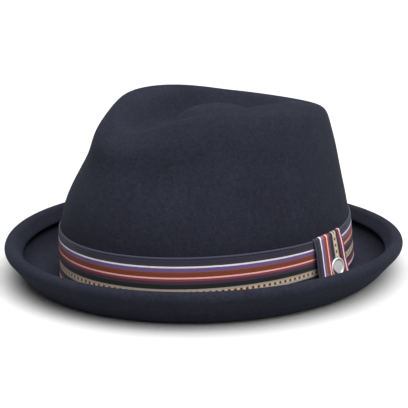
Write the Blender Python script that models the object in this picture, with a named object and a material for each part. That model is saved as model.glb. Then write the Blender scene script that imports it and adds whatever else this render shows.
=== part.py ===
"""Felt hat with a teardrop crown, a small curled brim, a striped band and a loop with a round badge.

Metres, +Z up. The front of the hat faces -Y and the wearer's left is +X.
The level inner part of the brim rests on Z = 0, and the origin is under the middle of the brim.
"""
import math
from collections import namedtuple

import bmesh
import bpy
import numpy as np
from mathutils import Matrix, Vector

# Felt: all lengths along the middle of its thickness
FELT = 0.0022            # thickness of the felt
HEAD_LENGTH = 0.1998     # oval at the foot of the crown, front to back
HEAD_WIDTH = 0.1606      # the same oval, side to side
CROWN_HEIGHT = 0.1070    # ridge beside the dent, above the level part of the brim
BREAK = 0.0016           # how far from the oval the crown starts to turn up
BRIM_FLAT = 0.0120       # level part of the brim
BEND_RADIUS = 0.0149     # curve from the level part to the rising part
RISE_ANGLE = 48.6        # slope of the rising part, degrees
RISE = 0.0141            # straight length of the rising part
ROLL_RADIUS = 0.0029     # roll of the edge
ROLL_TURN = 190.0        # how far the edge is rolled inward, degrees
TUCK = 0.0070            # straight length from the roll to the cut edge

# Ribbon, loop and badge
GAP = 0.0003             # clearance between touching pieces
RIBBON_WIDTH = 0.0312
RIBBON_THICKNESS = 0.0009
RIBBON_LIFT = 0.0006     # lower edge of the ribbon above the brim
LOOP_ANGLE = 102.0       # middle of the loop, from the front towards the wearer's left
LOOP_THICKNESS = 0.0010
LOOP_RISE = 0.0008       # how far the loop's fold stands above the ribbon
LOOP_FOOT = 0.0014       # lower end of the loop above the ribbon's lower edge
BADGE_DIAMETER = 0.0112
BADGE_THICKNESS = 0.0008
BADGE_RIM_WIDTH = 0.0011
BADGE_RIM_HEIGHT = 0.0005
BADGE_BEVEL = 0.0003     # bevel on both sides of the rim
BADGE_HEIGHT = 0.0088    # centre of the badge above the ribbon's lower edge
BADGE_OFFSET = 0.0066    # centre of the badge behind the middle of the loop
POST_DIAMETER = 0.0018

# Level of detail
COLUMNS = 60
ROLL_STEPS = 7
BEND_STEPS = 4
RING_STEPS = 2
LOOP_COLUMNS = 8
LOOP_ROWS = 5
FOLD_TURNS = (45, 90, 135, 180)     # degrees round the loop's fold
BADGE_SIDES = 32

# Brim at the front, side and back, as shares of BRIM_FLAT and of the height above the level part
BRIM_FLAT_SHARES = (0.87, 1.46, 0.22)
BRIM_HEIGHT_SHARES = (1.027, 1.048, 0.877)

# Crown: a row for each ring from foot to top. Reaches are shares of the head oval and heights
# are shares of CROWN_HEIGHT, each at the front, side and back. The last columns say how much
# of the side pinches and of the low tip of the dent the ring takes.
Ring = namedtuple("Ring", "name reach height pinch tip")
RINGS = (
    Ring("foot", (0.995, 0.992, 0.990), (0.10, 0.10, 0.10), 0.0, 0.0),
    Ring("band", (1.010, 1.002, 0.946), (0.34, 0.34, 0.34), 0.0, 0.0),
    Ring("lower", (0.971, 0.937, 0.899), (0.54, 0.54, 0.53), 0.4, 0.0),
    Ring("middle", (0.873, 0.867, 0.876), (0.73, 0.73, 0.70), 1.1, 0.0),
    Ring("upper", (0.864, 0.814, 0.835), (0.88, 0.866, 0.836), 1.2, 0.5),
    Ring("shoulder", (0.765, 0.735, 0.825), (0.975, 0.989, 0.905), 1.3, 1.0),
    Ring("crest", (0.699, 0.633, 0.686), (1.014, 1.016, 0.897), 1.0, 1.0),
    Ring("inner", (0.538, 0.474, 0.563), (0.950, 1.032, 0.950), 0.6, 0.8),
    Ring("groove", (0.418, 0.349, 0.432), (0.840, 0.842, 0.846), 0.3, 0.2),
    Ring("slope", (0.292, 0.251, 0.341), (0.850, 0.845, 0.862), 0.0, 0.0),
    Ring("dome", (0.160, 0.168, 0.243), (0.974, 0.961, 0.946), 0.0, 0.0),
)
TOP_HEIGHT = 0.958       # top of the dome, share of CROWN_HEIGHT
TOP_BACK = 0.030         # top of the dome behind the middle, share of HEAD_LENGTH
WALL_SPANS = 6           # spans of the spline from the brim to well above the ribbon

# Creases: a row for each, with its angle from the front, its spread, how far it presses in as a
# share of HEAD_WIDTH and how far down as a share of CROWN_HEIGHT
Crease = namedtuple("Crease", "kind angle spread press drop")
CREASES = (
    Crease("tip", 0.0, 26.0, 0.000, 0.045),
    Crease("tip", 0.0, 14.0, 0.000, 0.050),
    Crease("pinch", 42.0, 22.0, 0.036, 0.000),
    Crease("pinch", -42.0, 22.0, 0.036, 0.000),
)


def around(shares, angle):
    """Smooth value round the hat from its values at the front, side and back."""
    front, side, back = shares
    first = (front - back) / 2
    second = ((front + back) / 2 - side) / 2
    return side + second + first * np.cos(angle) + second * np.cos(2 * angle)


def bell(angle, crease):
    """Weight of a crease at an angle, 1 at its middle."""
    turn = (np.degrees(angle) - crease.angle + 180) % 360 - 180
    return np.exp(-0.5 * (turn / crease.spread) ** 2)


def oval(angle, beyond, height):
    """Points round the head oval, moved outward by a length."""
    x = (HEAD_WIDTH / 2 + beyond) * np.sin(angle)
    y = -(HEAD_LENGTH / 2 + beyond) * np.cos(angle)
    return np.stack([x, y, height + 0 * x], axis=-1)


def brim_section():
    """Section of the brim from the cut edge in to the level part, as (beyond, height)."""
    rise = math.radians(RISE_ANGLE)
    turn = math.radians(ROLL_TURN)
    points = [(0.0, 0.0)]
    for step in range(1, BEND_STEPS + 1):
        slope = rise * step / BEND_STEPS
        points.append((BEND_RADIUS * math.sin(slope), BEND_RADIUS * (1 - math.cos(slope))))
    x, z = points[-1]
    x += RISE * math.cos(rise)
    z += RISE * math.sin(rise)
    points.append((x, z))
    centre_x = x - ROLL_RADIUS * math.sin(rise)
    centre_z = z + ROLL_RADIUS * math.cos(rise)
    for step in range(1, ROLL_STEPS + 1):
        slope = rise + turn * step / ROLL_STEPS
        points.append((centre_x + ROLL_RADIUS * math.sin(slope),
                       centre_z - ROLL_RADIUS * math.cos(slope)))
    x, z = points[-1]
    points.append((x + TUCK * math.cos(rise + turn), z + TUCK * math.sin(rise + turn)))
    return points[::-1]


def brim_rings(angle):
    """Rings of the brim from the cut edge to the start of the crown."""
    flat = BRIM_FLAT * around(BRIM_FLAT_SHARES, angle)
    share = around(BRIM_HEIGHT_SHARES, angle)
    return [oval(angle, flat + x, FELT / 2 + z * share) for x, z in brim_section()]


def crown_controls(angle):
    """Control rings of the crown, from the level part of the brim to the top."""
    foot = FELT / 2
    controls = [oval(angle, BREAK * 2, foot), oval(angle, BREAK, foot), oval(angle, 0.0, foot)]
    for ring in RINGS:
        reach = around(ring.reach, angle)
        height = around(ring.height, angle)
        for crease in CREASES:
            amount = getattr(ring, crease.kind) * bell(angle, crease)
            reach = reach - amount * crease.press * 2
            height = height - amount * crease.drop
        x = HEAD_WIDTH / 2 * reach * np.sin(angle)
        y = -HEAD_LENGTH / 2 * reach * np.cos(angle)
        controls.append(np.stack([x, y, CROWN_HEIGHT * height], axis=-1))
    back = HEAD_LENGTH * TOP_BACK
    top = np.zeros_like(controls[-1])
    top[:, 1:] = (back, CROWN_HEIGHT * TOP_HEIGHT)
    opposite = controls[-1] * (-1, -1, 1) + (0, 2 * back, 0)
    controls += [top, opposite]
    return controls


def crown_top():
    """The spline's end point, on top of the dome."""
    dome = around(RINGS[-1].height, column_angles(4)).mean()
    height = CROWN_HEIGHT * (dome * 2 + TOP_HEIGHT * 4) / 6
    return (0.0, centre_shift() + HEAD_LENGTH * TOP_BACK, float(height))


def crown_rings(angle):
    """Rings of the crown along a cubic B-spline through the control rings."""
    controls = crown_controls(angle)
    rings = []
    for first in range(len(controls) - 3):
        p, q, r, s = controls[first:first + 4]
        for step in range(RING_STEPS):
            t = step / RING_STEPS
            weights = ((1 - t) ** 3, 3 * t ** 3 - 6 * t ** 2 + 4,
                       -3 * t ** 3 + 3 * t ** 2 + 3 * t + 1, t ** 3)
            rings.append(sum(w * c for w, c in zip(weights, (p, q, r, s))) / 6)
    return rings


def centre_shift():
    """How far the model moves along Y so that the brim's middle is over the origin."""
    front, side, back = BRIM_FLAT_SHARES
    return BRIM_FLAT * (front - back) / 2


def column_angles(count):
    """Evenly spaced angles from the front round the hat."""
    return np.arange(count) * 2 * math.pi / count


def material(name, colour, roughness, metallic=0.0):
    """A plain Principled BSDF material."""
    made = bpy.data.materials.new(name)
    made.use_nodes = True
    shader = made.node_tree.nodes["Principled BSDF"]
    shader.inputs["Base Color"].default_value = (*colour, 1.0)
    shader.inputs["Roughness"].default_value = roughness
    shader.inputs["Metallic"].default_value = metallic
    return made


def add_object(name, mesh_data, finish):
    """Turn a bmesh into a named object that is shaded smooth."""
    mesh = bpy.data.meshes.new(name)
    bmesh.ops.recalc_face_normals(mesh_data, faces=mesh_data.faces[:])
    mesh_data.to_mesh(mesh)
    mesh_data.free()
    mesh.shade_smooth()
    mesh.set_sharp_from_angle(angle=math.radians(40))
    mesh.materials.append(finish)
    made = bpy.data.objects.new(name, mesh)
    bpy.context.collection.objects.link(made)
    return made


def thicken(made, thickness):
    """Give a sheet its thickness, half on each side."""
    solid = made.modifiers.new("thickness", "SOLIDIFY")
    solid.thickness = thickness
    solid.offset = 0.0
    solid.use_even_offset = True
    solid.use_rim = True


def grid_sheet(rings, closed, top=None):
    """A bmesh sheet through rings of points, with a fan to a top point if there is one."""
    sheet = bmesh.new()
    rows = [[sheet.verts.new(point) for point in ring] for ring in rings]
    count = len(rows[0])
    last = count if closed else count - 1
    for lower, upper in zip(rows, rows[1:]):
        for i in range(last):
            j = (i + 1) % count
            sheet.faces.new((lower[i], lower[j], upper[j], upper[i]))
    if top is not None:
        peak = sheet.verts.new(top)
        for i in range(last):
            sheet.faces.new((rows[-1][i], rows[-1][(i + 1) % count], peak))
    return sheet


def felt_rings(angle):
    """All rings of the felt, middle of its thickness, in the hat's frame."""
    shift = np.array([0.0, centre_shift(), 0.0])
    return [ring + shift for ring in brim_rings(angle) + crown_rings(angle)]


def build_felt_body():
    """Crown and brim, blocked from one piece of felt and hollow below."""
    rings = felt_rings(column_angles(COLUMNS))
    sheet = grid_sheet(rings, closed=True, top=crown_top())
    body = add_object("felt_body", sheet, material("navy_felt", (0.012, 0.014, 0.024), 0.95))
    thicken(body, FELT)
    return body


def wall_strip(angle, heights, beyond):
    """Rings that follow the crown's wall at given heights, moved out from the felt's outer face."""
    rings = np.array(crown_rings(angle)) + np.array([0.0, centre_shift(), 0.0])
    wall = rings[:RING_STEPS * WALL_SPANS]
    strip = []
    for height, out in zip(heights, beyond):
        ring = []
        for column in range(len(angle)):
            z = wall[:, column, 2]
            upper = int(np.searchsorted(z, height))
            low, high = wall[upper - 1, column], wall[upper, column]
            point = low + (high - low) * (height - low[2]) / (high[2] - low[2])
            along = (high - low) / np.linalg.norm(high - low)
            outward = np.array([math.sin(angle[column]) / HEAD_WIDTH,
                                -math.cos(angle[column]) / HEAD_LENGTH, 0.0])
            outward -= along * outward.dot(along)
            outward /= np.linalg.norm(outward)
            ring.append(point + outward * (FELT / 2 + out))
        strip.append(np.array(ring))
    return strip


def ribbon_levels():
    """Heights of the ribbon's lower and upper edges."""
    low = FELT + RIBBON_LIFT
    return low, low + RIBBON_WIDTH


def build_ribbon_band():
    """Striped ribbon round the foot of the crown."""
    low, high = ribbon_levels()
    heights = np.linspace(low, high, 4)
    beyond = [GAP + RIBBON_THICKNESS / 2] * len(heights)
    strip = wall_strip(column_angles(COLUMNS), heights, beyond)
    band = add_object("ribbon_band", grid_sheet(strip, closed=True),
                      material("ribbon", (0.10, 0.04, 0.06), 0.6))
    thicken(band, RIBBON_THICKNESS)
    return band


def loop_speed():
    """Length along the wall for each radian, at the loop."""
    middle = math.radians(LOOP_ANGLE)
    return math.hypot(HEAD_WIDTH / 2 * math.cos(middle), HEAD_LENGTH / 2 * math.sin(middle))


def loop_angles():
    """Angles across the loop, one ribbon width along the wall."""
    middle = math.radians(LOOP_ANGLE)
    half = RIBBON_WIDTH / 2 / loop_speed()
    return np.linspace(middle - half, middle + half, LOOP_COLUMNS + 1)


def build_ribbon_loop():
    """Short piece of the ribbon, upright over the band, folded over its upper edge."""
    low, high = ribbon_levels()
    out = GAP * 2 + RIBBON_THICKNESS + LOOP_THICKNESS / 2
    back = GAP + LOOP_THICKNESS / 2
    top = high + GAP + LOOP_THICKNESS / 2 + LOOP_RISE
    bend = (out - back) / 2
    heights = list(np.linspace(low + LOOP_FOOT, high - bend, LOOP_ROWS))
    beyond = [out] * LOOP_ROWS
    for turn in FOLD_TURNS:
        slope = math.radians(turn)
        heights.append(high - bend + (top - high + bend) * math.sin(slope))
        beyond.append(back + bend + bend * math.cos(slope))
    heights[-1] = high + GAP + LOOP_THICKNESS / 2
    strip = wall_strip(loop_angles(), heights, beyond)
    loop = add_object("ribbon_loop", grid_sheet(strip, closed=False),
                      material("ribbon_upright", (0.10, 0.04, 0.06), 0.6))
    thicken(loop, LOOP_THICKNESS)
    return loop


def badge_frame():
    """Matrix at the badge's centre on the loop's outer face, with Z out of the wall."""
    low, _ = ribbon_levels()
    height = low + BADGE_HEIGHT
    angle = math.radians(LOOP_ANGLE) + BADGE_OFFSET / loop_speed()
    out = GAP * 2 + RIBBON_THICKNESS + LOOP_THICKNESS
    step = 0.02
    here = wall_strip(np.array([angle - step, angle, angle + step]), [height], [out])[0]
    above = wall_strip(np.array([angle]), [height + RIBBON_WIDTH / 4], [out])[0][0]
    across = Vector(here[2] - here[0]).normalized()
    upward = Vector(above - here[1]).normalized()
    outward = across.cross(upward).normalized()
    upward = outward.cross(across)
    turn = Matrix((across, upward, outward)).transposed().to_4x4()
    return Matrix.Translation(Vector(here[1])) @ turn


def turned(profile, sides):
    """A bmesh body turned from a profile of (radius, height) that starts and ends on the axis."""
    body = bmesh.new()
    verts = [body.verts.new((radius, 0.0, height)) for radius, height in profile]
    edges = [body.edges.new(pair) for pair in zip(verts, verts[1:])]
    bmesh.ops.spin(body, geom=verts + edges, cent=(0, 0, 0), axis=(0, 0, 1),
                   angle=2 * math.pi, steps=sides, use_merge=True)
    bmesh.ops.remove_doubles(body, verts=body.verts[:], dist=1e-6)
    return body


def badge_sagitta():
    """How far the loop's curved face stands above the badge's flat back."""
    tightest = (HEAD_WIDTH / 2) ** 2 / (HEAD_LENGTH / 2)
    return (BADGE_DIAMETER / 2) ** 2 / (2 * tightest)


def build_badge(loop):
    """Bare round badge with a raised rim, held by a post through the loop."""
    radius = BADGE_DIAMETER / 2
    post = POST_DIAMETER / 2
    seat = GAP + badge_sagitta()
    face = seat + BADGE_THICKNESS
    rim = face + BADGE_RIM_HEIGHT
    inner = radius - BADGE_RIM_WIDTH
    profile = [(0.0, -LOOP_THICKNESS), (post, -LOOP_THICKNESS), (post, seat), (radius, seat),
               (radius, rim - BADGE_BEVEL), (radius - BADGE_BEVEL, rim),
               (inner + BADGE_BEVEL, rim), (inner, face), (0.0, face)]
    pewter = material("pewter", (0.45, 0.44, 0.42), 0.35, 1.0)
    badge = add_object("badge", turned(profile, BADGE_SIDES), pewter)
    badge.matrix_world = badge_frame()
    cut_hole(loop, "badge_hole", post + GAP, badge.matrix_world)
    return badge


def cut_hole(target, name, radius, place):
    """Cut a round hole through a piece along Z of the given place."""
    cutter_mesh = bmesh.new()
    bmesh.ops.create_cone(cutter_mesh, cap_ends=True, segments=12, radius1=radius, radius2=radius,
                          depth=LOOP_THICKNESS * 4)
    cutter = add_object(name, cutter_mesh, target.data.materials[0])
    cutter.matrix_world = place
    cutter.hide_render = True
    cutter.display_type = "WIRE"
    cut = target.modifiers.new(name, "BOOLEAN")
    cut.operation = "DIFFERENCE"
    cut.solver = "EXACT"
    cut.object = cutter


def main():
    for old in list(bpy.data.objects):
        bpy.data.objects.remove(old)
    build_felt_body()
    build_ribbon_band()
    loop = build_ribbon_loop()
    build_badge(loop)


main()
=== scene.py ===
"""Looks of the felt hat: finely shaped felt with a soft nap, a woven striped ribbon, its loop and badge.

Metres, +Z up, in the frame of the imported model. The front of the hat faces -Y and the wearer's
left is +X. The felt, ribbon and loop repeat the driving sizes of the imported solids. The loop's
foot stands off the band, and the badge lies on it.
"""
import math
from collections import namedtuple

import bmesh
import bpy
import numpy as np
from mathutils import Matrix, Vector


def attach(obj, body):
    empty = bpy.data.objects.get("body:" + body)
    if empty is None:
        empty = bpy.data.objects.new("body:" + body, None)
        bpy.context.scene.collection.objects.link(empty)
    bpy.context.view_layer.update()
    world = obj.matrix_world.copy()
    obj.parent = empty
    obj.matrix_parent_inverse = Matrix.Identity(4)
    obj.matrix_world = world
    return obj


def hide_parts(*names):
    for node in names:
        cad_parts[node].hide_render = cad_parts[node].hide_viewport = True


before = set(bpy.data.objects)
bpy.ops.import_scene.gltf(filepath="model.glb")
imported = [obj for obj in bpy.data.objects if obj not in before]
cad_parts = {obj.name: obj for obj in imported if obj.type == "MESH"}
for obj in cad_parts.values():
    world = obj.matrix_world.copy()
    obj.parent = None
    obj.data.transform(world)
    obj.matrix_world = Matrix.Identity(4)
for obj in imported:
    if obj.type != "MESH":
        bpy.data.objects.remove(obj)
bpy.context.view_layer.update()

# Felt: lengths along the middle of its thickness, as in the solids
FELT = 0.0022
HEAD_LENGTH = 0.1998
HEAD_WIDTH = 0.1606
CROWN_HEIGHT = 0.1070
BREAK = 0.0016
BRIM_FLAT = 0.0120
BEND_RADIUS = 0.0149
RISE_ANGLE = 48.6
RISE = 0.0141
ROLL_RADIUS = 0.0029
ROLL_TURN = 190.0
TUCK = 0.0070

# Ribbon and loop, as in the solids
GAP = 0.0003
RIBBON_WIDTH = 0.0312
RIBBON_THICKNESS = 0.0009
RIBBON_LIFT = 0.0006
LOOP_ANGLE = 102.0
LOOP_THICKNESS = 0.0010
LOOP_FOOT = 0.0014

# Drape of the ribbon and loop
RIBBON_DIP = 0.0018      # how far the loop pulls the upper edge of the ribbon down
DIP_REACH = 0.45         # radians from the loop over which the dip fades
LOOP_BEND = 0.0006       # how far below the upper edge the fold starts
FOLD_RISE = 1.6          # height of the fold, in shares of LOOP_BEND
LOOP_FLATTEN = 0.0010    # how far its edges stand off because it is flatter than the wall
FLATTEN_GAIN = 4.0       # how much sooner than the foot the flattening is complete
LOOP_LEAN = 0.0038       # how far its foot stands off the band, times the shares below
LEAN_FRONT = 1.15        # share at its front edge
LEAN_GAIN = 0.25         # how much more at its back edge
LEAN_CURVE = 1.2         # how late the lean comes towards the foot

# Soft edges and unevenness of the weave
EDGE_SHARE = 0.03        # share of the width over which the weave thins
RIBBON_EDGE = 0.35       # thickness left at the ribbon's edges, as a share
LOOP_EDGE = 0.45         # thickness left at the loop's edges, as a share
Ripple = namedtuple("Ripple", "depth count start")
RIPPLES = (Ripple(0.00016, 7, 1.3), Ripple(0.00010, 17, 0.4))

# Badge, lying on the leaning loop
BADGE_DIAMETER = 0.0118
BADGE_HEIGHT = 0.0096    # of its centre, above the ribbon's lower edge
BADGE_OFFSET = 0.0032    # of its centre, from the middle of the loop towards the back
BADGE_STAND = 0.0028     # how far its back stands off, with the leaning loop
BADGE_TURN = -11.0       # degrees towards the front
BADGE_TILT = 5.0         # degrees upward, with the leaning loop
RIM_LEVEL = 0.00115      # levels are heights above the loop's face
RIM_START = -10.0        # degrees up from the badge's outline
RIM_STEP = 20.0
RIM_HALF_WIDTH = 0.00055
RIM_HALF_HEIGHT = 0.00045
FACE_EDGE = 0.00125      # how far in from its outline the face starts
FACE_LEVEL = 0.00098
BACK = ((0.0, 0.00030), (0.92, 0.00030), (0.985, 0.00040))      # share of the radius, level
FACE_DOME = ((0.6, 0.00104), (0.3, 0.00110), (0.0, 0.00112))    # share of the radius, level

# Slow waves of the felt
WAVE_DEPTH = 0.00045
WAVE_FOOT = 0.034        # height where they start, above the ribbon
WAVE_FADE = 0.03         # height over which they reach their full depth
WAVE_COUNT = 9
WAVE_LENGTHS = (0.035, 0.090)
WAVE_SEED = 4
CUT_BULGE = 0.16         # how far the cut edge is rounded, as a share of the felt

# Level of detail
COLUMNS = 288
ROLL_STEPS = 20
BEND_STEPS = 10
STRAIGHT_STEPS = 4
RING_STEPS = 6
WALL_SPANS = 6
CUT_STEPS = 6
RIBBON_COLUMNS = 480
RIBBON_ROWS = (0.0, 0.012, 0.03, 0.08, 0.2, 0.35, 0.5, 0.65, 0.8, 0.92, 0.97, 0.988, 1.0)
LOOP_COLUMNS = 41
LOOP_ROWS = 16
FOLD_ROWS = 13
BADGE_SIDES = 96
RIM_ROWS = 11

# Brim at the front, side and back, as shares of BRIM_FLAT and of the height above the level part
BRIM_FLAT_SHARES = (0.87, 1.46, 0.22)
BRIM_HEIGHT_SHARES = (1.027, 1.048, 0.877)

# Crown rings, as in the solids: reaches are shares of the head oval and heights are shares of
# CROWN_HEIGHT, at the front, side and back, then how much of each crease the ring takes
Ring = namedtuple("Ring", "name reach height pinch tip")
RINGS = (
    Ring("foot", (0.995, 0.992, 0.990), (0.10, 0.10, 0.10), 0.0, 0.0),
    Ring("band", (1.010, 1.002, 0.946), (0.34, 0.34, 0.34), 0.0, 0.0),
    Ring("lower", (0.971, 0.937, 0.899), (0.54, 0.54, 0.53), 0.4, 0.0),
    Ring("middle", (0.873, 0.867, 0.876), (0.73, 0.73, 0.70), 1.1, 0.0),
    Ring("upper", (0.864, 0.814, 0.835), (0.88, 0.866, 0.836), 1.2, 0.5),
    Ring("shoulder", (0.765, 0.735, 0.825), (0.975, 0.989, 0.905), 1.3, 1.0),
    Ring("crest", (0.699, 0.633, 0.686), (1.014, 1.016, 0.897), 1.0, 1.0),
    Ring("inner", (0.538, 0.474, 0.563), (0.950, 1.032, 0.950), 0.6, 0.8),
    Ring("groove", (0.418, 0.349, 0.432), (0.840, 0.842, 0.846), 0.3, 0.2),
    Ring("slope", (0.292, 0.251, 0.341), (0.850, 0.845, 0.862), 0.0, 0.0),
    Ring("dome", (0.160, 0.168, 0.243), (0.974, 0.961, 0.946), 0.0, 0.0),
)
# The dome's top, as shares of CROWN_HEIGHT up and of HEAD_LENGTH back from the middle
TOP_HEIGHT = 0.958
TOP_BACK = 0.030

Crease = namedtuple("Crease", "kind angle spread press drop")
CREASES = (
    Crease("tip", 0.0, 26.0, 0.000, 0.045),
    Crease("tip", 0.0, 14.0, 0.000, 0.050),
    Crease("pinch", 42.0, 22.0, 0.036, 0.000),
    Crease("pinch", -42.0, 22.0, 0.036, 0.000),
)

# Stripes of the ribbon from its upper edge down: width in millimetres and linear colour
Stripe = namedtuple("Stripe", "name width colour")
STRIPES = (
    Stripe("selvedge", 0.7, (0.030, 0.030, 0.052)),
    Stripe("ink", 0.8, (0.012, 0.012, 0.026)),
    Stripe("navy", 2.2, (0.028, 0.027, 0.050)),
    Stripe("umber", 1.4, (0.048, 0.036, 0.038)),
    Stripe("white", 0.95, (0.800, 0.760, 0.820)),
    Stripe("violet", 1.8, (0.140, 0.100, 0.270)),
    Stripe("plum", 0.9, (0.230, 0.090, 0.120)),
    Stripe("rust", 2.8, (0.215, 0.052, 0.028)),
    Stripe("salmon", 1.0, (0.930, 0.500, 0.440)),
    Stripe("crimson", 1.3, (0.270, 0.055, 0.085)),
    Stripe("aubergine", 0.8, (0.095, 0.035, 0.062)),
    Stripe("slate", 1.2, (0.052, 0.043, 0.068)),
    Stripe("black", 2.8, (0.020, 0.020, 0.021)),
    Stripe("beige", 4.5, (0.400, 0.350, 0.300)),
    Stripe("black_low", 2.4, (0.020, 0.020, 0.021)),
    Stripe("wine", 2.4, (0.150, 0.030, 0.050)),
    Stripe("rose", 1.2, (0.800, 0.480, 0.560)),
    Stripe("hem", 2.05, (0.050, 0.045, 0.075)),
)
RIB_PITCH = 0.00055
RAGGED = 0.006           # unevenness of the stripes' edges, as a share of the width
THREAD_TONE = 0.30       # how much the threads differ in tone

# Chain on the beige stripe: the dark links, and the tan stitches between them
CHAIN_PITCH = 0.0038
Mark = namedtuple("Mark", "centre half_long half_wide strength colour")
LINK = Mark(0.5, 0.00095, 0.00085, 4.0, (0.055, 0.028, 0.020, 1.0))
STITCH = Mark(0.0, 0.00120, 0.00100, 2.0, (0.72, 0.46, 0.28, 1.0))
MARK_SOFTNESS = 0.2

# Felt and metal: the darker and lighter tones that are mixed
Tones = namedtuple("Tones", "dark light")
FELT_TONES = Tones((0.0064, 0.0070, 0.0113), (0.0193, 0.0206, 0.0320))
# The cut edge's tones are lighter than the felt's: a painted highlight along the brim's cut edge.
CUT_HIGHLIGHT_TONES = Tones((0.0120, 0.0130, 0.0190), (0.0310, 0.0330, 0.0460))
METAL_TONES = Tones((0.66, 0.66, 0.65), (0.88, 0.88, 0.87))
FELT_NAP = 0.020
CUT_NAP = 0.05

# Sizes of the patterns, in noise cells a metre
FIBRE_SCALE = 1500.0
TUFT_SCALE = 420.0
CLOUD_SCALE = 38.0
RAGGED_SCALE = 900.0
THREAD_SCALE = 2600.0
GRAIN_SCALE = 2400.0
DIMPLE_SCALE = 1500.0

# Floor, lights and camera: angles are degrees round from the front and degrees up
FLOOR_HALF = 8.0
FLOOR_GREY = 0.47
FLOOR_DROP = 0.0002
SURROUND = 0.18
Light = namedtuple("Light", "name turn lift spread strength")
LIGHTS = (Light("key", 76.0, 46.0, 60.0, 2.5), Light("overhead", 95.0, 84.0, 80.0, 5.6))
CAMERA_TURN = 45.0
CAMERA_LIFT = 15.304
CAMERA_AWAY = 1.0
CAMERA_LENS = 140.6
CAMERA_SENSOR = 36.0
CAMERA_REACH = 50.0
AIM_HEIGHT = 0.040835
AIM_LEFT = 0.003548

# Places of the two colours and of the result on a colour mix node
MIX_FIRST = 6
MIX_SECOND = 7
MIX_RESULT = 2


def around(shares, angle):
    """Smooth value round the hat from its values at the front, side and back."""
    front, side, back = shares
    first = (front - back) / 2
    second = ((front + back) / 2 - side) / 2
    return side + second + first * np.cos(angle) + second * np.cos(2 * angle)


def bell(angle, crease):
    """Weight of a crease at an angle, 1 at its middle."""
    turn = (np.degrees(angle) - crease.angle + 180) % 360 - 180
    return np.exp(-0.5 * (turn / crease.spread) ** 2)


def oval(angle, beyond, height):
    """Points round the head oval, moved outward by a length."""
    x = (HEAD_WIDTH / 2 + beyond) * np.sin(angle)
    y = -(HEAD_LENGTH / 2 + beyond) * np.cos(angle)
    return np.stack([x, y, height + 0 * x], axis=-1)


def brim_section():
    """Section of the brim from the cut edge in to the level part, as (beyond, height)."""
    rise = math.radians(RISE_ANGLE)
    turn = math.radians(ROLL_TURN)
    points = [(0.0, 0.0)]
    for step in range(1, BEND_STEPS + 1):
        slope = rise * step / BEND_STEPS
        points.append((BEND_RADIUS * math.sin(slope), BEND_RADIUS * (1 - math.cos(slope))))
    points += straight(points[-1], rise, RISE)
    x, z = points[-1]
    centre_x = x - ROLL_RADIUS * math.sin(rise)
    centre_z = z + ROLL_RADIUS * math.cos(rise)
    for step in range(1, ROLL_STEPS + 1):
        slope = rise + turn * step / ROLL_STEPS
        points.append((centre_x + ROLL_RADIUS * math.sin(slope),
                       centre_z - ROLL_RADIUS * math.cos(slope)))
    points += straight(points[-1], rise + turn, TUCK)
    return points[::-1]


def straight(start, slope, length):
    """Evenly spaced points after the start along a slope."""
    steps = [length * step / STRAIGHT_STEPS for step in range(1, STRAIGHT_STEPS + 1)]
    return [(start[0] + s * math.cos(slope), start[1] + s * math.sin(slope)) for s in steps]


def brim_rings(angle):
    """Rings of the brim from the cut edge to the start of the crown."""
    flat = BRIM_FLAT * around(BRIM_FLAT_SHARES, angle)
    share = around(BRIM_HEIGHT_SHARES, angle)
    rings = [oval(angle, flat + x, FELT / 2 + z * share) for x, z in brim_section()]
    level = [oval(angle, BREAK + (flat - BREAK) * part, FELT / 2) for part in (0.75, 0.5, 0.25)]
    return rings + level


def crown_rings(angle):
    """Rings of the crown along a cubic B-spline through the control rings."""
    foot = FELT / 2
    controls = [oval(angle, BREAK * 2, foot), oval(angle, BREAK, foot), oval(angle, 0.0, foot)]
    for ring in RINGS:
        reach = around(ring.reach, angle)
        height = around(ring.height, angle)
        for crease in CREASES:
            amount = getattr(ring, crease.kind) * bell(angle, crease)
            reach = reach - amount * crease.press * 2
            height = height - amount * crease.drop
        x = HEAD_WIDTH / 2 * reach * np.sin(angle)
        y = -HEAD_LENGTH / 2 * reach * np.cos(angle)
        controls.append(np.stack([x, y, CROWN_HEIGHT * height], axis=-1))
    top = np.zeros_like(controls[-1])
    top[:, 1:] = (HEAD_LENGTH * TOP_BACK, CROWN_HEIGHT * TOP_HEIGHT)
    opposite = controls[-1] * (-1, -1, 1) + (0, 2 * HEAD_LENGTH * TOP_BACK, 0)
    controls += [top, opposite]
    rings = []
    for first in range(len(controls) - 3):
        p, q, r, s = controls[first:first + 4]
        for step in range(RING_STEPS):
            t = step / RING_STEPS
            weights = ((1 - t) ** 3, 3 * t ** 3 - 6 * t ** 2 + 4,
                       -3 * t ** 3 + 3 * t ** 2 + 3 * t + 1, t ** 3)
            rings.append(sum(w * c for w, c in zip(weights, (p, q, r, s))) / 6)
    return rings


def centre_shift():
    """How far the model lies along Y so that the brim's middle is over the origin."""
    front, _, back = BRIM_FLAT_SHARES
    return BRIM_FLAT * (front - back) / 2


def felt_grid(count):
    """Middle of the felt as an array of rings, columns and coordinates, and its outer normals."""
    angle = np.arange(count) * 2 * math.pi / count
    rings = np.array(brim_rings(angle) + crown_rings(angle))
    rings[..., 1] += centre_shift()
    along = np.gradient(rings, axis=0)
    across = (np.roll(rings, -1, axis=1) - np.roll(rings, 1, axis=1)) / 2
    normal = np.cross(across, along)
    normal /= np.linalg.norm(normal, axis=-1, keepdims=True) + 1e-12
    return rings, normal


def soft_waves(points, seed):
    """Slow, gentle unevenness of handmade felt, between -1 and 1, from a few seeded waves."""
    chance = np.random.RandomState(seed)
    total = np.zeros(points.shape[:-1])
    for _ in range(WAVE_COUNT):
        wave = chance.normal(size=3)
        wave *= 2 * math.pi / (np.linalg.norm(wave) * chance.uniform(*WAVE_LENGTHS))
        total += np.sin(points @ wave + chance.uniform(0, 2 * math.pi))
    return total / WAVE_COUNT


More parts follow.
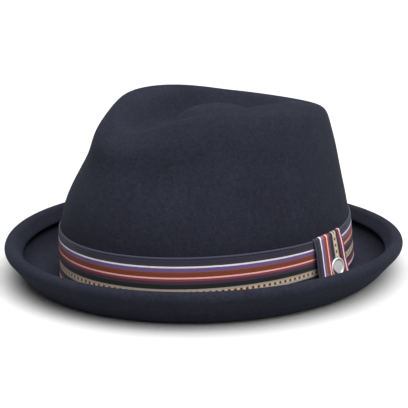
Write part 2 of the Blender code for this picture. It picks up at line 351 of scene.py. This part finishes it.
def mesh_object(name, vertices, faces, materials, slots=None):
    """A named mesh object, shaded smooth, with a material index for each face."""
    mesh = bpy.data.meshes.new(name)
    mesh.from_pydata([tuple(v) for v in vertices], [], faces)
    for material in materials:
        mesh.materials.append(material)
    if slots is not None:
        mesh.polygons.foreach_set("material_index", slots)
    mesh.shade_smooth()
    mesh.update()
    made = bpy.data.objects.new(name, mesh)
    bpy.context.collection.objects.link(made)
    return made


def ring_faces(first, second, count, closed=True):
    """Quads between two rows of vertices that start at the given indices."""
    last = count if closed else count - 1
    return [(first + i, first + (i + 1) % count, second + (i + 1) % count, second + i)
            for i in range(last)]


class Nodes:
    """Short way to add and link shader nodes in one material."""

    def __init__(self, name):
        self.material = bpy.data.materials.new(name)
        self.material.use_nodes = True
        self.tree = self.material.node_tree
        self.shader = self.tree.nodes["Principled BSDF"]

    def add(self, kind, values=None, **settings):
        node = self.tree.nodes.new(kind)
        for key, value in settings.items():
            setattr(node, key, value)
        for key, value in (values or {}).items():
            self.put(node.inputs[key], value)
        return node

    def put(self, socket, value):
        if isinstance(value, bpy.types.NodeSocket):
            self.tree.links.new(value, socket)
        else:
            socket.default_value = value

    def math(self, operation, *values):
        node = self.add("ShaderNodeMath", operation=operation)
        for socket, value in zip(node.inputs, values):
            self.put(socket, value)
        return node.outputs[0]

    def mix(self, share, one, two, blend="MIX"):
        node = self.add("ShaderNodeMix", data_type="RGBA", blend_type=blend)
        self.put(node.inputs["Factor"], share)
        self.put(node.inputs[MIX_FIRST], one)
        self.put(node.inputs[MIX_SECOND], two)
        return node.outputs[MIX_RESULT]

    def ramp(self, value, stops, interpolation="LINEAR"):
        node = self.add("ShaderNodeValToRGB", {"Fac": value})
        node.color_ramp.interpolation = interpolation
        marks = node.color_ramp.elements
        while len(marks) < len(stops):
            marks.new(0.5)
        for mark, (place, colour) in zip(marks, stops):
            mark.position = place
            mark.color = (*colour, 1.0)
        return node.outputs["Color"]

    def noise(self, vector, scale, detail=3.0, distortion=0.0, roughness=0.5):
        node = self.add("ShaderNodeTexNoise", {"Vector": vector, "Scale": scale, "Detail": detail,
                                               "Distortion": distortion, "Roughness": roughness})
        return node.outputs["Fac"]


def grey(value):
    """A neutral colour."""
    return (value, value, value)


def felt_material(name, tones, nap):
    """Wool felt: matted fibres in slightly different tones, a soft nap and a faint bloom."""
    nodes = Nodes(name)
    place = nodes.add("ShaderNodeTexCoord").outputs["Object"]
    fibre = nodes.noise(place, FIBRE_SCALE, 4.0, 1.6, 0.65)
    tuft = nodes.noise(place, TUFT_SCALE, 3.0, 0.8)
    cloud = nodes.noise(place, CLOUD_SCALE, 3.0, 0.4)
    fibre_tone = nodes.ramp(fibre, ((0.30, grey(0.0)), (0.72, grey(1.0))))
    colour = nodes.mix(fibre_tone, (*tones.dark, 1.0), (*tones.light, 1.0))
    shade = nodes.ramp(tuft, ((0.30, grey(0.80)), (0.70, grey(1.16))))
    colour = nodes.mix(1.0, colour, shade, "MULTIPLY")
    drift = nodes.ramp(cloud, ((0.32, grey(0.90)), (0.68, grey(1.10))))
    colour = nodes.mix(1.0, colour, drift, "MULTIPLY")
    nodes.put(nodes.shader.inputs["Base Color"], colour)
    rough = nodes.math("MULTIPLY_ADD", tuft, 0.12, 0.86)
    nodes.put(nodes.shader.inputs["Roughness"], rough)
    nodes.shader.inputs["Specular IOR Level"].default_value = 0.05
    nodes.shader.inputs["Sheen Weight"].default_value = nap
    nodes.shader.inputs["Sheen Roughness"].default_value = 0.48
    nodes.shader.inputs["Sheen Tint"].default_value = (0.62, 0.70, 0.95, 1.0)
    fine = nodes.add("ShaderNodeBump", {"Height": fibre, "Strength": 0.55, "Distance": 0.00035})
    coarse = nodes.add("ShaderNodeBump", {"Height": tuft, "Strength": 0.30, "Distance": 0.0006,
                                          "Normal": fine.outputs["Normal"]})
    nodes.put(nodes.shader.inputs["Normal"], coarse.outputs["Normal"])
    return nodes.material


def build_felt():
    """Crown and brim in one fine mesh: outer face, inner face and a cut edge between them."""
    rings, normal = felt_grid(COLUMNS)
    count = COLUMNS
    free = np.clip((rings[..., 2] - WAVE_FOOT) / WAVE_FADE, 0, 1)
    wave = soft_waves(rings, WAVE_SEED) * WAVE_DEPTH * free
    middle = rings + normal * wave[..., None]
    outer = middle + normal * FELT / 2
    inner = middle - normal * FELT / 2
    tangent = middle[0] - middle[1]
    tangent /= np.linalg.norm(tangent, axis=-1, keepdims=True)
    edge = []
    for step in range(1, CUT_STEPS):
        turn = math.pi * step / CUT_STEPS
        bulge = tangent * math.sin(turn) * FELT * CUT_BULGE
        edge.append(middle[0] + normal[0] * (FELT / 2 * math.cos(turn)) + bulge)
    rows = list(outer[::-1]) + edge + list(inner)
    vertices = list(np.concatenate(rows))
    faces = []
    slots = []
    edge_start = len(outer) - 1
    for row in range(len(rows) - 1):
        faces += ring_faces((row + 1) * count, row * count, count)
        on_edge = edge_start <= row < edge_start + len(edge) + 1
        slots += [1 if on_edge else 0] * count
    top_outer = len(vertices)
    vertices.append(outer[-1].mean(axis=0))
    top_inner = len(vertices)
    vertices.append(inner[-1].mean(axis=0))
    last = (len(rows) - 1) * count
    for i in range(count):
        j = (i + 1) % count
        faces.append((i, j, top_outer))
        faces.append((last + j, last + i, top_inner))
        slots += [0, 0]
    felt = felt_material("navy_felt", FELT_TONES, FELT_NAP)
    # The cut edge gets the lighter tones: a painted highlight.
    cut = felt_material("felt_cut_edge_highlight", CUT_HIGHLIGHT_TONES, CUT_NAP)
    body = mesh_object("felt_hat", vertices, faces, (felt, cut), slots)
    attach(body, "root")
    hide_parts("felt_body")


def ribbon_material(name):
    """Grosgrain: stripes along the ribbon, crossed by fine ribs, with a stitched chain on the beige."""
    nodes = Nodes(name)
    place = nodes.add("ShaderNodeUVMap", uv_map="ribbon").outputs["UV"]
    split = nodes.add("ShaderNodeSeparateXYZ", {"Vector": place})
    along, across = split.outputs["X"], split.outputs["Y"]
    total = sum(stripe.width for stripe in STRIPES)
    ragged = nodes.noise(place, RAGGED_SCALE, 2.0)
    uneven = nodes.math("MULTIPLY_ADD", ragged, RAGGED, -RAGGED / 2)
    shifted = nodes.math("ADD", across, uneven)
    stops = []
    start = 0.0
    for stripe in STRIPES:
        stops.append((start / total, stripe.colour))
        if stripe.name == "beige":
            chain_middle = (start + stripe.width / 2) / total
        start += stripe.width
    colour = nodes.ramp(shifted, stops, "CONSTANT")
    phase = nodes.math("FRACT", nodes.math("DIVIDE", along, CHAIN_PITCH))
    beside = nodes.math("SUBTRACT", across, chain_middle)
    offset = nodes.math("MULTIPLY", beside, total / 1000)
    for mark in (STITCH, LINK):
        colour = nodes.mix(chain_mask(nodes, phase, offset, mark), colour, mark.colour)
    rib = nodes.math("SINE", nodes.math("MULTIPLY", along, 2 * math.pi / RIB_PITCH))
    thread = nodes.noise(place, THREAD_SCALE, 2.0, 0.3)
    # The colour follows the ribs, lighter on their tops and darker in the valleys between them: painted
    # shade. The thread noise below is the threads' own uneven tone.
    tone = nodes.math("MULTIPLY_ADD", rib, 0.10, 0.92)
    threads = nodes.math("MULTIPLY_ADD", thread, THREAD_TONE, -THREAD_TONE / 2)
    tone = nodes.math("ADD", tone, threads)
    tint = nodes.add("ShaderNodeCombineColor", {"Red": tone, "Green": tone, "Blue": tone})
    colour = nodes.mix(1.0, colour, tint.outputs["Color"], "MULTIPLY")
    nodes.put(nodes.shader.inputs["Base Color"], colour)
    nodes.put(nodes.shader.inputs["Roughness"], nodes.math("MULTIPLY_ADD", rib, 0.06, 0.56))
    nodes.shader.inputs["Specular IOR Level"].default_value = 0.20
    nodes.shader.inputs["Sheen Weight"].default_value = 0.05
    nodes.shader.inputs["Sheen Roughness"].default_value = 0.35
    height = nodes.math("ADD", rib, nodes.math("MULTIPLY", thread, 0.8))
    bump = nodes.add("ShaderNodeBump", {"Height": height, "Strength": 0.6, "Distance": 0.00012})
    nodes.put(nodes.shader.inputs["Normal"], bump.outputs["Normal"])
    return nodes.material


def chain_mask(nodes, phase, offset, mark):
    """Mask of the rounded marks of one kind along the beige stripe."""
    shift = nodes.math("ABSOLUTE", nodes.math("SUBTRACT", phase, mark.centre))
    shift = nodes.math("MINIMUM", shift, nodes.math("SUBTRACT", 1.0, shift))
    long = nodes.math("DIVIDE", nodes.math("MULTIPLY", shift, CHAIN_PITCH), mark.half_long)
    wide = nodes.math("ABSOLUTE", nodes.math("DIVIDE", offset, mark.half_wide))
    far = nodes.math("ADD", nodes.math("POWER", long, 2.0), nodes.math("POWER", wide, 2.0))
    near = nodes.math("SUBTRACT", 1.0, nodes.math("SMOOTH_MIN", far, 1.0, MARK_SOFTNESS))
    return nodes.math("MINIMUM", nodes.math("MULTIPLY", near, mark.strength), 1.0)


def wall_points(angle, height, beyond):
    """Points on the crown's wall at given heights, moved out from the felt's outer face.

    All three are arrays of one shape.
    """
    flat_angle = np.ravel(angle)
    flat_height = np.ravel(height)
    flat_out = np.ravel(beyond)
    rings = np.array(crown_rings(flat_angle))[:RING_STEPS * WALL_SPANS]
    rings[..., 1] += centre_shift()
    z = rings[..., 2]
    upper = np.clip((z < flat_height).sum(axis=0), 1, len(z) - 1)
    column = np.arange(len(flat_angle))
    low, high = rings[upper - 1, column], rings[upper, column]
    share = (flat_height - low[:, 2]) / (high[:, 2] - low[:, 2])
    point = low + (high - low) * share[:, None]
    rise = high - low
    rise /= np.linalg.norm(rise, axis=-1, keepdims=True)
    outward = np.stack([np.sin(flat_angle) / HEAD_WIDTH, -np.cos(flat_angle) / HEAD_LENGTH,
                        0 * flat_angle], axis=-1)
    outward -= rise * (outward * rise).sum(axis=-1, keepdims=True)
    outward /= np.linalg.norm(outward, axis=-1, keepdims=True)
    out = point + outward * (FELT / 2 + flat_out)[:, None]
    return out.reshape(*np.shape(angle), 3)


def ribbon_levels():
    """Heights of the ribbon's lower and upper edges."""
    low = FELT + RIBBON_LIFT
    return low, low + RIBBON_WIDTH


def ribbon_dip(angle):
    """How far the upper edge of the ribbon lies lower near the loop."""
    return RIBBON_DIP * np.exp(-((angle - math.radians(LOOP_ANGLE)) / DIP_REACH) ** 2)


def add_ribbon_map(made, along, across):
    """Store the place along the ribbon in metres and across it as a share, for each vertex."""
    layer = made.data.uv_layers.new(name="ribbon")
    corners = np.empty(len(made.data.loops), dtype=int)
    made.data.loops.foreach_get("vertex_index", corners)
    pairs = np.stack([np.asarray(along)[corners], np.asarray(across)[corners]], axis=-1)
    layer.data.foreach_set("uv", pairs.ravel())


def closed_strip(name, front, back, along, across, closed, finish):
    """A strip with thickness from its front and back faces, each an array of rows and columns."""
    rows, count = front.shape[:2]
    loop_rows = list(front) + list(back[::-1])
    maps = list(across) + list(across[::-1])
    vertices = np.concatenate(loop_rows)
    u = np.concatenate([along] * len(loop_rows))
    v = np.concatenate([np.full(count, value) for value in maps])
    total = len(loop_rows)
    faces = []
    for row in range(total):
        faces += ring_faces(row * count, ((row + 1) % total) * count, count, closed)
    if not closed:
        for column, flip in ((0, False), (count - 1, True)):
            for row in range(rows - 1):
                a, b = row * count + column, (row + 1) * count + column
                c, d = (total - 2 - row) * count + column, (total - 1 - row) * count + column
                faces.append((a, b, c, d) if flip else (d, c, b, a))
    made = mesh_object(name, vertices, faces, (finish,))
    add_ribbon_map(made, u, v)
    fix = bmesh.new()
    fix.from_mesh(made.data)
    bmesh.ops.recalc_face_normals(fix, faces=fix.faces[:])
    fix.to_mesh(made.data)
    fix.free()
    made.data.set_sharp_from_angle(angle=math.radians(50))
    return made


def arc_lengths(points):
    """Length along a row of points, from the first."""
    steps = np.linalg.norm(np.diff(points, axis=0), axis=-1)
    return np.concatenate([[0.0], np.cumsum(steps)])


def woven_thickness(full, least, shares):
    """Thickness across a woven strip, which thins to a share at its two edges."""
    ease = np.minimum(1.0, np.minimum(shares, 1 - shares) / EDGE_SHARE)
    return full * (least + (1 - least) * np.sqrt(ease))


def build_ribbon(finish):
    """Ribbon round the foot of the crown, with softly rounded edges and a faint ripple."""
    low, high = ribbon_levels()
    angle = np.arange(RIBBON_COLUMNS) * 2 * math.pi / RIBBON_COLUMNS
    shares = np.array(RIBBON_ROWS)
    thick = woven_thickness(RIBBON_THICKNESS, RIBBON_EDGE, shares)
    wide_angle = np.tile(angle, (len(shares), 1))
    ripple = sum(wave.depth * np.sin(wide_angle * wave.count + wave.start) for wave in RIPPLES)
    edge_only = (np.abs(shares * 2 - 1) ** 3)[:, None]
    upper = high - ribbon_dip(wide_angle)
    height = upper - (upper - low) * shares[:, None]
    inner = GAP + 0 * wide_angle
    outer = inner + thick[:, None] + np.abs(ripple) * edge_only
    front = wall_points(wide_angle, height, outer)
    back = wall_points(wide_angle, height, inner)
    middle = front[len(shares) // 2]
    along = arc_lengths(np.vstack([middle, middle[:1]]))[:-1]
    band = closed_strip("ribbon", front, back, along, shares, True, finish)
    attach(band, "root")
    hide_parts("ribbon_band")


def loop_speed():
    """Length of wall per radian at the loop."""
    middle = math.radians(LOOP_ANGLE)
    return math.hypot(HEAD_WIDTH / 2 * math.cos(middle), HEAD_LENGTH / 2 * math.sin(middle))


def build_loop(finish):
    """Upright piece of the ribbon: folded over the band's upper edge, its foot standing off."""
    low, high = ribbon_levels()
    middle = math.radians(LOOP_ANGLE)
    half = RIBBON_WIDTH / 2 / loop_speed()
    shares = np.linspace(0, 1, LOOP_COLUMNS)
    angle = middle - half + 2 * half * shares
    top = high - RIBBON_DIP - LOOP_BEND
    out = GAP * 2 + RIBBON_THICKNESS
    foot = low + LOOP_FOOT
    path = [(foot + (top - foot) * step, out) for step in np.linspace(0, 1, LOOP_ROWS)]
    for turn in np.linspace(0, math.pi, FOLD_ROWS)[1:]:
        height = top + FOLD_RISE * LOOP_BEND * math.sin(turn)
        path.append((height, (out + GAP) / 2 + (out - GAP) / 2 * math.cos(turn)))
    lengths = arc_lengths(np.array(path))
    wide_angle = np.tile(angle, (len(path), 1))
    heights = np.array([p[0] for p in path])[:, None] + 0 * wide_angle
    offsets = np.array([p[1] for p in path])[:, None] + 0 * wide_angle
    down = np.clip((top - heights) / (top - foot), 0, 1)
    flat = LOOP_FLATTEN * (shares * 2 - 1) ** 2 * np.clip(down * FLATTEN_GAIN, 0, 1)
    lean = LOOP_LEAN * (LEAN_FRONT + LEAN_GAIN * shares) * down ** LEAN_CURVE
    offsets = offsets + flat + lean
    inner = wall_points(wide_angle, heights, offsets)
    along_path = np.gradient(inner, axis=0)
    across_path = np.gradient(inner, axis=1)
    normal = np.cross(across_path, along_path)
    normal /= np.linalg.norm(normal, axis=-1, keepdims=True)
    thick = woven_thickness(LOOP_THICKNESS, LOOP_EDGE, shares)
    front = inner + normal * thick[None, :, None]
    loop = loop_strip(front, inner, lengths, shares, finish)
    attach(loop, "root")
    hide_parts("ribbon_loop")


def loop_strip(front, back, lengths, shares, finish):
    """The loop as a closed strip whose stripes run up the wall."""
    made = closed_strip("ribbon_tab", front, back, shares, lengths, False, finish)
    layer = made.data.uv_layers["ribbon"]
    values = np.empty(len(made.data.loops) * 2)
    layer.data.foreach_get("uv", values)
    pairs = values.reshape(-1, 2)[:, ::-1]
    layer.data.foreach_set("uv", pairs.ravel())
    return made


def badge_place():
    """Matrix at the badge's centre on the leaning loop, with Z out of its face."""
    low, _ = ribbon_levels()
    height = low + BADGE_HEIGHT
    angle = math.radians(LOOP_ANGLE) + BADGE_OFFSET / loop_speed()
    out = GAP * 2 + RIBBON_THICKNESS + LOOP_THICKNESS + BADGE_STAND
    step = 0.02
    angles = np.array([angle - step, angle, angle + step, angle])
    heights = np.array([height, height, height, height + RIBBON_WIDTH / 4])
    before, here, after, above = wall_points(angles, heights, np.full(4, out))
    across = Vector(after - before).normalized()
    upward = Vector(above - here).normalized()
    outward = across.cross(upward).normalized()
    upward = outward.cross(across)
    turn = Matrix((across, upward, outward)).transposed().to_4x4()
    round_axis = Matrix.Rotation(math.radians(BADGE_TURN), 4, "Y")
    upward_tilt = Matrix.Rotation(math.radians(-BADGE_TILT), 4, "X")
    return Matrix.Translation(Vector(here)) @ turn @ (round_axis @ upward_tilt)


def metal_material(name):
    """Soft silver-grey metal, finely dimpled on its face, its tone and dullness varying with a fine
    grain.
    """
    nodes = Nodes(name)
    place = nodes.add("ShaderNodeTexCoord").outputs["Object"]
    grain = nodes.noise(place, GRAIN_SCALE, 4.0, 0.6)
    dimple = nodes.add("ShaderNodeTexVoronoi", {"Vector": place, "Scale": DIMPLE_SCALE})
    tone = nodes.ramp(grain, ((0.3, METAL_TONES.dark), (0.7, METAL_TONES.light)))
    nodes.put(nodes.shader.inputs["Base Color"], tone)
    nodes.shader.inputs["Metallic"].default_value = 0.45
    nodes.put(nodes.shader.inputs["Roughness"], nodes.math("MULTIPLY_ADD", grain, 0.25, 0.24))
    height = nodes.math("ADD", dimple.outputs["Distance"], nodes.math("MULTIPLY", grain, 0.3))
    bump = nodes.add("ShaderNodeBump", {"Height": height, "Strength": 0.35, "Distance": 0.0001})
    nodes.put(nodes.shader.inputs["Normal"], bump.outputs["Normal"])
    return nodes.material


def build_badge():
    """Bare round badge: a raised rounded rim round a very slightly domed face."""
    radius = BADGE_DIAMETER / 2
    profile = [(radius * share, level) for share, level in BACK]
    for step in range(RIM_ROWS):
        turn = math.radians(RIM_START + RIM_STEP * step)
        reach = radius - RIM_HALF_WIDTH + RIM_HALF_WIDTH * math.cos(turn)
        profile.append((reach, RIM_LEVEL + RIM_HALF_HEIGHT * math.sin(turn)))
    profile.append((radius - FACE_EDGE, FACE_LEVEL))
    profile += [(radius * share, level) for share, level in FACE_DOME]
    sides = BADGE_SIDES
    angle = np.arange(sides) * 2 * math.pi / sides
    vertices = []
    faces = []
    for r, z in profile[1:-1]:
        vertices += [(r * math.cos(a), r * math.sin(a), z) for a in angle]
    rows = len(profile) - 2
    for row in range(rows - 1):
        faces += ring_faces(row * sides, (row + 1) * sides, sides)
    bottom, top = len(vertices), len(vertices) + 1
    vertices += [(0, 0, profile[0][1]), (0, 0, profile[-1][1])]
    last = (rows - 1) * sides
    for i in range(sides):
        j = (i + 1) % sides
        faces.append((j, i, bottom))
        faces.append((last + i, last + j, top))
    badge = mesh_object("badge_disc", vertices, faces, (metal_material("pewter"),))
    badge.data.transform(badge_place())
    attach(badge, "root")
    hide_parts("badge")


def build_floor():
    """Plain, pale and level floor that reaches far past the view."""
    size = FLOOR_HALF
    vertices = [(-size, -size, 0), (size, -size, 0), (size, size, 0), (-size, size, 0)]
    nodes = Nodes("pale_floor")
    nodes.shader.inputs["Base Color"].default_value = (*grey(FLOOR_GREY), 1.0)
    nodes.shader.inputs["Roughness"].default_value = 0.9
    floor = mesh_object("floor", vertices, [(0, 1, 2, 3)], (nodes.material,))
    floor.location.z = -FLOOR_DROP


def direction(turn, lift):
    """Unit vector away from the hat, from degrees round from the front and degrees up."""
    turn, lift = math.radians(turn), math.radians(lift)
    level = math.cos(lift)
    return Vector((math.sin(turn) * level, -math.cos(turn) * level, math.sin(lift)))


def soft_light(kind):
    """A far, broad light, even over the floor."""
    light = bpy.data.lights.new(kind.name, "SUN")
    light.energy = kind.strength
    light.angle = math.radians(kind.spread)
    made = bpy.data.objects.new(kind.name, light)
    bpy.context.collection.objects.link(made)
    toward = direction(kind.turn, kind.lift)
    made.location = toward
    made.rotation_euler = (-toward).to_track_quat("-Z", "Y").to_euler()


def build_light():
    """Soft studio light: an even surround, a key from the wearer's left and a broad overhead."""
    world = bpy.data.worlds.new("studio")
    bpy.context.scene.world = world
    world.use_nodes = True
    back = world.node_tree.nodes["Background"]
    back.inputs["Color"].default_value = (*grey(1.0), 1.0)
    back.inputs["Strength"].default_value = SURROUND
    for kind in LIGHTS:
        soft_light(kind)


def build_camera():
    """Camera at the photo's angle, a metre from the point that it looks at."""
    turn = math.radians(CAMERA_TURN)
    back = direction(CAMERA_TURN, CAMERA_LIFT)
    right = Vector((math.cos(turn), math.sin(turn), 0.0))
    up = back.cross(right)
    target = Vector((0.0, centre_shift(), AIM_HEIGHT)) - right * AIM_LEFT
    data = bpy.data.cameras.new("camera")
    data.sensor_width = CAMERA_SENSOR
    data.lens = CAMERA_LENS
    data.clip_end = CAMERA_REACH
    camera = bpy.data.objects.new("camera", data)
    bpy.context.collection.objects.link(camera)
    place = Matrix((right, up, back)).transposed().to_4x4()
    place.translation = target + back * CAMERA_AWAY
    camera.matrix_world = place
    bpy.context.scene.camera = camera


build_camera()
build_felt()
weave = ribbon_material("striped_ribbon")
build_ribbon(weave)
build_loop(weave)
build_badge()
build_floor()
build_light()
bpy.context.scene.view_settings.view_transform = "Standard"
